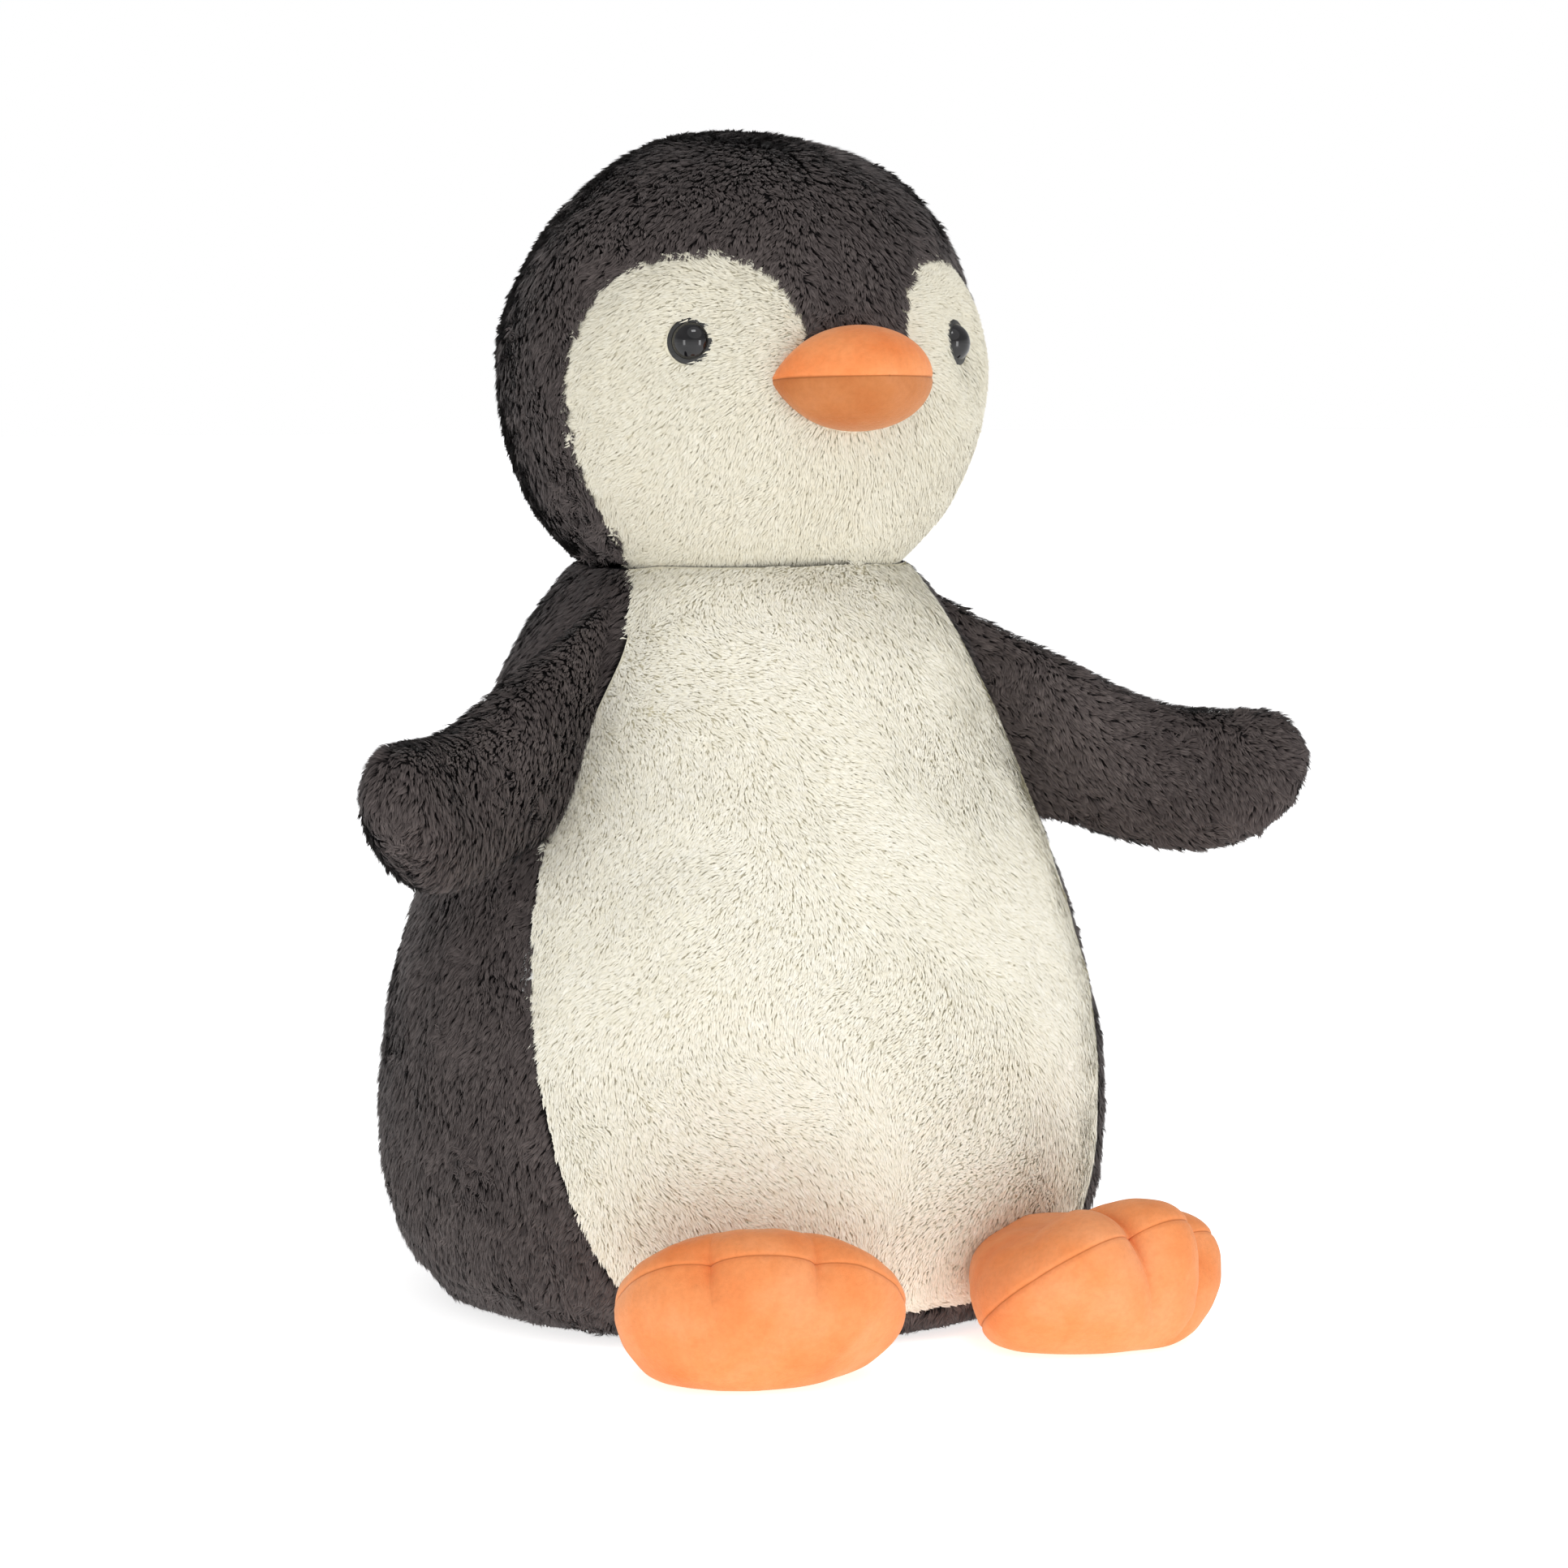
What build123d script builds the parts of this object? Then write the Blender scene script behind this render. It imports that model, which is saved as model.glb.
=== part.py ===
from build123d import *
import os
from math import asin, cos, radians, sin, sqrt, tan

os.makedirs("parts", exist_ok=True)

# A seated plush penguin. It faces -Y, its left is +X, and it sits on the plane z = 0
# with the middle of its base at the origin. All lengths are millimetres.

# ---- driving dimensions -------------------------------------------------------------
pile_cloth = 3.0            # pile fabric with its lining
suede_cloth = 1.6           # smooth cloth of the beak and the feet
clearance = 0.4             # room between bodies that move

neck_height = 317.5         # the crease where the head nods and turns
neck_ball_radius = 44.0     # the packed stuffing that the head moves on
neck_bevel = 3.6            # degrees that each rim of the neck slopes away from the crease
neck_rim_radius = 75.5
head_radius = 104.0
head_height = 397.0         # centre of the head

base_radius = 115.0         # flat that the toy sits on
base_seam_height = 13.0     # where the base panel meets the body panels
bean_height = 46.0          # depth of the pellets in the base
# radius and height of the body, from the bottom corner to the shoulders
body_stations = [(134, 8), (148, 30), (156, 62), (156, 95), (150, 140), (138.5, 180), (113.5, 242), (88, 296)]
# half width and height of the cream panel, seen from the front
belly_stations = [(93, 13), (112, 36), (129, 85), (128, 160), (108.5, 228), (79, 288), (61, 330)]

# half of the face mask, seen from the front, with heights from the head's centre
mask_stations = [(21, 12), (24, 26), (33, 43), (57, 51), (85, 38), (98.5, 4), (93, -36), (74, -68), (57, -90)]

beak_half_width = 35.0
beak_drop = 2.0             # the beak's seam is this far below the head's centre
# ahead of the line of the beak's corners, half width, half height
beak_stations = [(-12, 35, 22), (0, 35, 22), (13, 31, 21), (25, 23.5, 17.5), (33.5, 14, 12), (38, 5, 4.5)]

eye_radius = 10.0
eye_dome_height = 6.5
eye_shank_radius = 2.4
eye_shank_length = 15.0
eye_seat = 0.6              # the eye's flat back is this far into the pile cloth
eye_rib_count = 4
eye_rib_pitch = 2.2
eye_rib_length = 1.2
eye_rib_step = 0.3          # each rib stands this far out of the shank
first_rib = 6.0             # below the eye's back
eye_turn = 38.2             # degrees each side of straight ahead
eye_lift = 8.2              # degrees above the head's centre
washer_radius = 9.0
washer_thickness = 1.5
washer_gap = 0.5            # from the inside of the cloth to the washer
washer_hole_gap = 0.05

flipper_root_top = Vector(77.5, -35.0, 295.0)     # ends of the seam on the left of the body
flipper_root_bottom = Vector(118.0, -46.0, 205.0)
flipper_forward = 28.0      # degrees that the flippers point ahead of sideways
flipper_stand_off = 12.5    # from the seam to the line that the flipper hinges on
# out along the flipper from the middle of its hinge line: upper and lower edge, half thickness
flipper_stations = [
    (-26, 298, 226, 8.5),
    (2, 283, 212, 11.5),
    (28, 270, 202, 16),
    (54, 258, 195, 18.5),
    (81, 252, 193.5, 19),
    (104, 248.5, 200, 17),
    (120, 242, 211, 12),
    (128, 233, 222, 5),
]

foot_turn = 24.0            # degrees that each foot points out from straight ahead
foot_distance = 175.0       # from the middle of the body to the line of the heel
foot_tilt = 28.0            # degrees that the toes are raised
heel_radius = 23.5
heel_half_width = 24.0
heel_step = 0.5             # the heel is this much slimmer than the toes' roots
ball_radius = 24.0          # the ball of the foot bulges down to the floor ahead of the heel
ball_half_width = 20.0
ball_ahead = 30.0           # from the heel line, along the floor
# each toe: how far across the foot, its reach from the heel line, the radius of its tip
toe_stations = [(-38, 38, 17), (0, 47, 18), (38, 38, 17)]

# ---- planes and points that follow from them --------------------------------------------
front = Plane.XZ            # its normal is -Y, the way the penguin faces
middle = Plane.YZ           # its normal is +X, the penguin's left
neck_slope = tan(radians(neck_bevel))
front_start = 5.0           # the front panels are cut from this far ahead of the middle
face_reach = 2 * head_radius
body_reach = 2 * base_radius
beak_corner_depth = sqrt(head_radius**2 - beak_half_width**2)
beak_plane = front.shift_origin((0, 0, head_height - beak_drop)).offset(beak_corner_depth)

flipper_out = Vector(cos(radians(flipper_forward)), -sin(radians(flipper_forward)), 0)
flipper_side = flipper_out.cross(Vector(0, 0, 1))
flipper_root_line = flipper_root_top - flipper_root_bottom
flipper_root = (flipper_root_top + flipper_root_bottom) * 0.5 + flipper_out * flipper_stand_off
flipper_plane = Plane(origin=flipper_root, x_dir=flipper_out, z_dir=flipper_side)
flipper_root_outwards = flipper_root_line.cross(flipper_side)
flipper_root_plane = Plane(origin=flipper_root, x_dir=flipper_side, z_dir=flipper_root_outwards)

foot_ahead = Vector(sin(radians(foot_turn)), -cos(radians(foot_turn)), 0)
foot_across = foot_ahead.cross(Vector(0, 0, 1))
foot_toes = foot_ahead * cos(radians(foot_tilt)) + Vector(0, 0, 1) * sin(radians(foot_tilt))
foot_heel = foot_ahead * foot_distance + Vector(0, 0, heel_radius)
foot_plane = Plane(origin=foot_heel, x_dir=foot_across, z_dir=foot_across.cross(foot_toes))
foot_ball = foot_ahead * (foot_distance + ball_ahead) + Vector(0, 0, 1) * ball_radius


def eye_plane(side, inset):
    """Plane of an eye, square to the head, this far below the outside of its cloth."""
    turn = radians(eye_turn)
    lift = radians(eye_lift)
    outwards = Vector(side * sin(turn) * cos(lift), -cos(turn) * cos(lift), sin(lift))
    origin = Vector(0, 0, head_height) + outwards * (head_radius - inset)
    return Plane(origin=origin, z_dir=outwards)


# ---- stuffed forms: each is made at its outside and again inside its cloth ----------------
def body_section(inset):
    """Half section of the body, inset from the outside of its cloth."""
    rim_radius = neck_rim_radius - inset
    rim = (rim_radius, neck_height - neck_slope * rim_radius)
    side_points = [(base_radius, inset)]
    side_points += [(radius - inset, height) for radius, height in body_stations]
    with BuildSketch() as section:
        with BuildLine():
            Spline(side_points + [rim])
            Polyline(rim, (0, neck_height), (0, inset), side_points[0])
        make_face()
    return section.sketch


def head_section(inset):
    """Half section of the head's ball, cut off at the neck, inset from the outside of its cloth."""
    radius = head_radius - inset
    drop = head_height - neck_height
    # the rim is where the ball meets the bevel, height = neck_height + neck_slope * radius
    spread = 1 + neck_slope**2
    shift = neck_slope * drop
    rim_radius = (shift + sqrt(shift**2 - spread * (drop**2 - radius**2))) / spread
    rim = (rim_radius, neck_height + neck_slope * rim_radius)
    crown = (0, head_height + radius)
    with BuildSketch() as section:
        with BuildLine():
            ThreePointArc(rim, (radius, head_height), crown)
            Polyline(crown, (0, neck_height), rim)
        make_face()
    return section.sketch


def turned(section, inset):
    """The solid form of a half section, at this inset."""
    with BuildPart() as form:
        with BuildSketch(front):
            add(section(inset))
        revolve(axis=Axis.Z)
    return form.part


def turned_cover(section):
    """The cloth between the outside of a half section and its inside."""
    with BuildPart() as cover:
        with BuildSketch(front):
            add(section(0))
            add(section(pile_cloth), mode=Mode.SUBTRACT)
        revolve(axis=Axis.Z)
    return cover.part


def beak_form(inset):
    """The beak, lofted through ovals from inside the face to its tip."""
    with BuildPart() as form:
        for ahead, half_width, half_height in beak_stations:
            with BuildSketch(beak_plane.offset(ahead)):
                Ellipse(half_width - inset, half_height - inset)
        loft()
        with Locations((0, 0, head_height)):
            Sphere(head_radius, mode=Mode.SUBTRACT)
    return form.part


def flipper_form(inset):
    """The left flipper, lofted through ovals to its tip and cut off at its root."""
    with BuildPart() as form:
        for out, upper, lower, half_thickness in flipper_stations:
            at = flipper_root + flipper_out * out
            middle_of_section = (at.X, at.Y, (upper + lower) / 2)
            with BuildSketch(Plane(origin=middle_of_section, x_dir=(0, 0, 1), z_dir=flipper_out)):
                Ellipse((upper - lower) / 2 - inset, half_thickness - inset)
        loft()
        split(bisect_by=flipper_root_plane, keep=Keep.TOP)
    return form.part


def foot_form(inset):
    """The left foot: a round heel and three rounded cones for the toes."""
    with BuildPart(Plane(origin=foot_heel, z_dir=foot_across)) as form:
        Cylinder(heel_radius - heel_step - inset, 2 * heel_half_width)
    for across, reach, tip_radius in toe_stations:
        start = Vector(heel_half_width * across / toe_stations[-1][0], 0, 0)
        along = Vector(across, reach, 0) - start
        near = heel_radius - inset
        far = tip_radius - inset
        slope = asin((near - far) / along.length)
        cone_start = near * sin(slope)
        cone_length = along.length + far * sin(slope) - cone_start
        toe_start = foot_plane.from_local_coords(start)
        toe_along = foot_plane.from_local_coords(start + along) - toe_start
        with BuildPart(Plane(origin=toe_start, z_dir=toe_along)) as toe:
            Sphere(near)
            with Locations((0, 0, cone_start)):
                Cone(near * cos(slope), far * cos(slope), cone_length,
                     align=(Align.CENTER, Align.CENTER, Align.MIN))
            with Locations((0, 0, along.length)):
                Sphere(far)
        with BuildPart() as joined:
            add(form.part)
            add(toe.part)
        form = joined
    with BuildPart(Plane(origin=foot_ball, z_dir=foot_across)) as ball:
        Cylinder(ball_radius - inset, 2 * ball_half_width)
        for end in (-1, 1):
            with Locations((0, 0, end * ball_half_width)):
                Sphere(ball_radius - inset)
    with BuildPart() as whole:
        add(form.part)
        add(ball.part)
    return whole.part


def finish(piece, name):
    """Label a finished piece and write it."""
    piece.part.label = name
    export_step(piece.part, f"parts/{name}.step")


def finish_pair(piece, name, other_name):
    """Write a piece of the penguin's left side, and its mirror image on the right."""
    finish(piece, name)
    with BuildPart() as other:
        mirror(piece.part, about=middle)
    finish(other, other_name)


body_inside = turned(body_section, pile_cloth)
body_cover = turned_cover(body_section)
head_inside = turned(head_section, pile_cloth)
head_cover = turned_cover(head_section)

# ---- body panels -------------------------------------------------------------------------
with BuildPart() as belly_region:
    with BuildSketch(front.offset(front_start)):
        with BuildLine():
            Spline(belly_stations)
            low, high = belly_stations[0], belly_stations[-1]
            Polyline(high, (0, high[1]), (0, low[1]), low)
        make_face()
        mirror(about=middle)
    extrude(amount=body_reach)

with BuildPart() as base_region:
    Cylinder(body_reach, base_seam_height, align=(Align.CENTER, Align.CENTER, Align.MIN))

with BuildPart() as belly_panel:
    add(body_cover)
    add(belly_region.part, mode=Mode.INTERSECT)
finish(belly_panel, "belly_panel")

with BuildPart() as base_panel:
    add(body_cover)
    add(base_region.part, mode=Mode.INTERSECT)
finish(base_panel, "base_panel")

with BuildPart() as back_panel:
    add(body_cover)
    add(belly_region.part, mode=Mode.SUBTRACT)
    add(base_region.part, mode=Mode.SUBTRACT)
    split(bisect_by=middle)
finish_pair(back_panel, "back_panel_left", "back_panel_right")

# ---- what fills the body: a pouch of pellets under the stuffing, and the neck ---------------
with BuildPart() as bean_pouch:
    add(body_inside)
    Cylinder(body_reach, bean_height, align=(Align.CENTER, Align.CENTER, Align.MIN), mode=Mode.INTERSECT)
finish(bean_pouch, "bean_pouch")

with BuildPart() as body_stuffing:
    add(body_inside)
    Cylinder(body_reach, bean_height, align=(Align.CENTER, Align.CENTER, Align.MIN), mode=Mode.SUBTRACT)
    with Locations((0, 0, neck_height)):
        Sphere(neck_ball_radius + clearance, mode=Mode.SUBTRACT)
finish(body_stuffing, "body_stuffing")

with BuildPart() as neck_stuffing:
    with Locations((0, 0, neck_height)):
        Sphere(neck_ball_radius)
finish(neck_stuffing, "neck_stuffing")

# ---- head panels -----------------------------------------------------------------------------
with BuildPart() as mask_region:
    with BuildSketch(front.offset(front_start)):
        with BuildLine():
            outline = [(across, head_height + up) for across, up in mask_stations]
            Spline(outline)
            high, low = outline[0], outline[-1]
            Polyline(low, (0, low[1]), (0, high[1]), high)
        make_face()
        mirror(about=middle)
    extrude(amount=face_reach)

with BuildPart() as face_panel:
    add(head_cover)
    add(mask_region.part, mode=Mode.INTERSECT)
    for side in (-1, 1):
        with Locations(eye_plane(side, pile_cloth)):
            Cylinder(eye_shank_radius + clearance, 3 * pile_cloth, mode=Mode.SUBTRACT)
        with Locations(eye_plane(side, eye_seat)):
            Cylinder(eye_radius + clearance, pile_cloth, align=(Align.CENTER, Align.CENTER, Align.MIN),
                     mode=Mode.SUBTRACT)
finish(face_panel, "face_panel")

with BuildPart() as head_panel:
    add(head_cover)
    add(mask_region.part, mode=Mode.SUBTRACT)
    split(bisect_by=middle)
finish_pair(head_panel, "head_panel_left", "head_panel_right")

with BuildPart() as head_stuffing:
    add(head_inside)
    with Locations((0, 0, neck_height)):
        Sphere(neck_ball_radius + clearance, mode=Mode.SUBTRACT)
    eye_depth = eye_seat + eye_shank_length + clearance
    for side in (-1, 1):
        with Locations(eye_plane(side, 0)):
            Cylinder(washer_radius + clearance, 2 * eye_depth, mode=Mode.SUBTRACT)
finish(head_stuffing, "head_stuffing")

# ---- eyes: a domed eye on a ribbed shank, held by a washer inside the head ---------------------
dome_ball_radius = (eye_radius**2 + eye_dome_height**2) / (2 * eye_dome_height)
for side_name, side in (("left", 1), ("right", -1)):
    seat = eye_plane(side, eye_seat)
    with BuildPart(seat) as eye:
        with Locations((0, 0, eye_dome_height - dome_ball_radius)):
            Sphere(dome_ball_radius)
        split(bisect_by=seat, keep=Keep.TOP)
        Cylinder(eye_shank_radius, eye_shank_length, align=(Align.CENTER, Align.CENTER, Align.MAX))
        for rib in range(eye_rib_count):
            with Locations((0, 0, -first_rib - eye_rib_pitch * rib)):
                Cone(eye_shank_radius, eye_shank_radius + eye_rib_step, eye_rib_length)
    finish(eye, f"eye_{side_name}")

    with BuildPart(eye_plane(side, pile_cloth + washer_gap)) as washer:
        Cylinder(washer_radius, washer_thickness, align=(Align.CENTER, Align.CENTER, Align.MAX))
        Cylinder(eye_shank_radius + washer_hole_gap, 4 * washer_thickness, mode=Mode.SUBTRACT)
    finish(washer, f"eye_washer_{side_name}")

# ---- beak ---------------------------------------------------------------------------------------
beak_outside = beak_form(0)
beak_inside = beak_form(suede_cloth)
beak_seam = Plane.XY.offset(head_height - beak_drop)
for side_name, kept_side in (("upper", Keep.TOP), ("lower", Keep.BOTTOM)):
    with BuildPart() as beak_panel:
        add(beak_outside)
        add(beak_inside, mode=Mode.SUBTRACT)
        split(bisect_by=beak_seam, keep=kept_side)
    finish(beak_panel, f"beak_{side_name}_panel")

with BuildPart() as beak_stuffing:
    add(beak_inside)
finish(beak_stuffing, "beak_stuffing")

# ---- flippers and feet ------------------------------------------------------------------------------
flipper_outside = flipper_form(0)
flipper_inside = flipper_form(pile_cloth)
for panel_name, kept_side in (("front", Keep.TOP), ("back", Keep.BOTTOM)):
    with BuildPart() as flipper_panel:
        add(flipper_outside)
        add(flipper_inside, mode=Mode.SUBTRACT)
        split(bisect_by=flipper_plane, keep=kept_side)
    finish_pair(flipper_panel, f"flipper_left_{panel_name}_panel", f"flipper_right_{panel_name}_panel")

with BuildPart() as flipper_stuffing:
    add(flipper_inside)
finish_pair(flipper_stuffing, "flipper_left_stuffing", "flipper_right_stuffing")

foot_outside = foot_form(0)
foot_inside = foot_form(suede_cloth)
for panel_name, kept_side in (("top", Keep.TOP), ("sole", Keep.BOTTOM)):
    with BuildPart() as foot_panel:
        add(foot_outside)
        add(foot_inside, mode=Mode.SUBTRACT)
        split(bisect_by=foot_plane, keep=kept_side)
    finish_pair(foot_panel, f"foot_left_{panel_name}_panel", f"foot_right_{panel_name}_panel")

with BuildPart() as foot_stuffing:
    add(foot_inside)
finish_pair(foot_stuffing, "foot_left_stuffing", "foot_right_stuffing")
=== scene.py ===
import math

import bpy
import numpy as np
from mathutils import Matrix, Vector, kdtree


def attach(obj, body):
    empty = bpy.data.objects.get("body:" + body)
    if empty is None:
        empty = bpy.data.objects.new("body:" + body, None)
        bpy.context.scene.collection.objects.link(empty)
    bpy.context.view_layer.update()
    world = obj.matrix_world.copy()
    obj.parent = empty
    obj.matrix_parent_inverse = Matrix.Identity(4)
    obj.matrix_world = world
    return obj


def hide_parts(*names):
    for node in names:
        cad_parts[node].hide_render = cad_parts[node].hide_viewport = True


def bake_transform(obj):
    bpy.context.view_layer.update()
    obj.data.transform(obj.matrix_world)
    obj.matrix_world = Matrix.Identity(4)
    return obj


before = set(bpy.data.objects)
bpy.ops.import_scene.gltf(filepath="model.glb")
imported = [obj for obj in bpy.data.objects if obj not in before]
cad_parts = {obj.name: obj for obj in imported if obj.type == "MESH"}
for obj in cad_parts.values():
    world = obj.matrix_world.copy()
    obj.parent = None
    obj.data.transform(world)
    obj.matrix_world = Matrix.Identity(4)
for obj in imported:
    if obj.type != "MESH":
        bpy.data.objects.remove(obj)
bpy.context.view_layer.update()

# The looks of a seated plush penguin. It faces -Y, its left is +X, and it sits on z = 0.
# Sizes are written in millimetres, as in the CAD source, and turned to metres by MM.
MM = 0.001
UP = np.array([0.0, 0.0, 1.0])

# ---- sizes that repeat the CAD source ----
NECK_HEIGHT = 317.5         # the crease where the head nods and turns
HEAD_RADIUS = 104.0
HEAD_HEIGHT = 397.0         # the head's centre
BASE_RADIUS = 115.0
BASE_SEAM_HEIGHT = 13.0
# radius and height of the body, from the bottom corner to the rim under the neck
BODY_STATIONS = [(134, 8), (148, 30), (156, 62), (156, 95), (150, 140), (138.5, 180), (113.5, 242),
                 (88, 296), (75.5, 312.7)]
# half width and height of the cream panel, seen from the front
BELLY_STATIONS = [(93, 13), (112, 36), (129, 85), (128, 160), (108.5, 228), (79, 288), (61, 330)]
# half of the face, seen from the front, with heights from the head's centre
MASK_STATIONS = [(21, 12), (24, 26), (33, 43), (57, 51), (85, 38), (98.5, 4), (93, -36), (74, -68), (57, -90)]
BEAK_HALF_WIDTH = 35.0
BEAK_HALF_HEIGHT = 22.0
BEAK_REACH = 38.0           # ahead of the line of the beak's corners
BEAK_DROP = 2.0             # the beak's seam is this far below the head's centre
EYE_RADIUS = 10.0
EYE_TURN = 38.2             # degrees each side of straight ahead
EYE_LIFT = 8.2              # degrees above the head's centre
FLIPPER_ROOT_TOP = np.array([77.5, -35.0, 295.0])
FLIPPER_ROOT_BOTTOM = np.array([118.0, -46.0, 205.0])
FLIPPER_FORWARD = 28.0      # degrees that the flippers point ahead of sideways
FLIPPER_STAND_OFF = 12.5    # from the seam to the line that the flipper hinges on
FOOT_TURN = 24.0            # degrees that each foot points outwards

# ---- sizes of the looks alone ----
NECK_CREASE_RADIUS = 70.5   # how far in the body's cloth turns at the neck
BASE_HEIGHT = 1.6           # of the base's cloth over the floor, with room for its pile
LEAST_CLOTH_HEIGHT = 1.2    # the same where the cloth's lumps come down
FAR = 60.0                  # stands for the distance from a seam that is on another side
MASK_SHIFT = 5.5            # how far left the dark stripe between the eyes is sewn in
MASK_SHIFT_WIDTH = 42
EYE_DOME_HEIGHT = 4.6
EYE_RIM_WIDTH = 2.3
EYE_STAND_OFF = 1.6         # of the rim from the cloth
EYE_SOCKET_DEPTH = 3.2      # how far the eyes' shanks pull the face in
EYE_SOCKET_WIDTH = 15.0
BEAK_ROOT = 12              # how far the beak goes into the head
BEAK_ROOT_SHARE = 0.15      # the share of its rows that do
BEAK_SEAM_RISE = 2.4        # how far the seam climbs towards the tip
# out along the flipper from the middle of its hinge line: upper and lower edge, half thickness
FLIPPER_STATIONS = [(-44, 306, 236, 7), (-26, 298, 226, 8.5), (2, 283, 212, 11.5), (28, 270, 202, 16),
                    (54, 258, 195, 18.5), (81, 252.5, 193.5, 19), (104, 251, 202, 17), (120, 247, 215.5, 12),
                    (126, 241.5, 223.5, 8)]
FLIPPER_TIP_START = 113     # how far out the flipper begins to close in a round tip
FLIPPER_TIP_LENGTH = 13
FLIPPER_CURL = 15.0         # how far forward the tip curls
FLIPPER_REACH_IN = 17.0     # how far in from the hinge line its root goes, into the body's pile
FOOT_HALF_WIDTH = 57.5      # of the seam round the foot
FOOT_HALF_LENGTH = 49.0
FOOT_SQUARENESS = 2.1       # 2 is an ellipse, and more is squarer
FOOT_TOP_HEIGHT = 24.5      # above the seam
FOOT_SOLE_DEPTH = 39.0      # below it
FOOT_LEAN = 36.0            # degrees that the seam leans up towards the toes
FOOT_OUT = 191.0            # the middle of the seam, out from the middle of the toy
FOOT_UP = 30.5
CREASE_TURN = math.radians(28.0)        # from the middle toe's tip round to a crease
SIDE_TOE_TURN = math.radians(52.0)      # and to a side toe's tip
SIDE_TOE_HALF_TURN = SIDE_TOE_TURN - CREASE_TURN
# how deep the creases between the toes are, how far they run over the top and the sole, how much
# fuller the top is at the heel, and how far the outer toe hangs
FOOT_FORMS = {"left": (14.0, 1.10, 0.62, 1.35, 12.0), "right": (8.5, 0.55, 0.42, 0.4, 0.0)}

# ---- how the cloth and the pile are made ----
SEAM_WIDTH = 5.0            # how far each side of a seam the stuffed cloth dips
SEAM_DEPTH = 1.6
SHADES = 64                 # columns of colour across the pile's texture
MOST_STRANDS = 98000        # in one piece
FLOOR_GAP = 0.4             # the lowest that a strand reaches
WAVE_COUNT = 24             # sine waves in one smooth random value
# how far a strand's middle and tip rise and reach, as shares of its length
MIDDLE_RISE = 0.68
MIDDLE_REACH = 0.34
TIP_REACH = 0.80
LOCK_REACH = 0.85           # the same for the tip of a lock
ROOT_DEPTH = 0.5            # below the cloth
STRAND_UNEVEN = 0.12        # how much strands differ in length
WIDTH_UNEVEN = 0.2          # and in width
LENGTH_LIMITS = (0.6, 1.45)
LIFT_LIMITS = (0.55, 1.6)
WIDTH_LIMITS = (0.6, 1.5)
# how much the nap wanders, over what length, and the step of the seed
STRAYS = ((0.42, 38.0, 11), (0.34, 10.0, 21))
LIE_JITTER = 0.20           # how much neighbouring strands differ in the way that they lie
EDGE_TWIST = 0.30           # and in how they are twisted
BARE_PUSH = 2.0             # how hard strands beside a bare place are combed away from it
BARE_FADE = 4.0
# what a strand's shading normal is made of
CLOTH_SHADING = 0.80
STRAND_SHADING = 0.35
SHADING_JITTER = 0.12
# how much locks, strands and patches differ in shade
LOCK_SHADE = 0.13
STRAND_SHADE = 0.10
PATCH_SHADE = 0.08
PATCH_SIZE = 60.0


# ---- small tools ----
def unit(vectors):
    """Each row made one long."""
    return vectors / np.maximum(np.linalg.norm(vectors, axis=-1, keepdims=True), 1e-9)


def smooth_line(points, count):
    """Points evenly spaced on a natural cubic spline through the given ones."""
    points = np.array(points, float)
    knots = np.append(0, np.cumsum(np.linalg.norm(np.diff(points, axis=0), axis=1)))
    gaps = np.diff(knots)
    size = len(points)
    system = np.eye(size)
    target = np.zeros_like(points)
    for i in range(1, size - 1):
        system[i, i - 1:i + 2] = gaps[i - 1], 2 * (gaps[i - 1] + gaps[i]), gaps[i]
        rise = (points[i + 1] - points[i]) / gaps[i]
        target[i] = 6 * (rise - (points[i] - points[i - 1]) / gaps[i - 1])
    bend = np.linalg.solve(system, target)
    at = np.linspace(0, knots[-1], count)
    left = np.clip(np.searchsorted(knots, at, side="right") - 1, 0, size - 2)
    gap = gaps[left][:, None]
    before = (at - knots[left])[:, None]
    after = gap - before
    linear = (points[left] * after + points[left + 1] * before) / gap
    from_left = bend[left] * (after**3 / gap - after * gap)
    from_right = bend[left + 1] * (before**3 / gap - before * gap)
    return linear + (from_left + from_right) / 6


def waves(points, wavelength, seed):
    """A smooth random value from about -1 to 1 at each point, which changes over this wavelength."""
    rng = np.random.default_rng(seed)
    total = np.zeros(len(points))
    for _ in range(WAVE_COUNT):
        direction = unit(rng.normal(size=3))
        rate = 2 * math.pi / (wavelength * rng.uniform(0.7, 1.5))
        total += np.sin(points @ direction * rate + rng.uniform(0, 2 * math.pi))
    return total / math.sqrt(WAVE_COUNT)


def wander(points, wavelength, seed):
    """A smooth random vector at each point."""
    return np.stack([waves(points, wavelength, seed + axis) for axis in range(3)], axis=1)


def outline_distance(points, outline):
    """Distance of 2-D points from a closed outline, below zero inside it."""
    start = np.array(outline, float)
    step = np.roll(start, -1, axis=0) - start
    nearest = np.full(len(points), 1e9)
    inside = np.zeros(len(points), bool)
    for origin, along in zip(start, step):
        offset = points - origin
        share = np.clip(offset @ along / max(along @ along, 1e-12), 0, 1)
        nearest = np.minimum(nearest, np.linalg.norm(offset - share[:, None] * along, axis=1))
        crosses = (origin[1] > points[:, 1]) != (origin[1] + along[1] > points[:, 1])
        rise = along[1] if along[1] else 1e-12
        inside ^= crosses & (points[:, 0] < origin[0] + along[0] * (points[:, 1] - origin[1]) / rise)
    return np.where(inside, -nearest, nearest)


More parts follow.
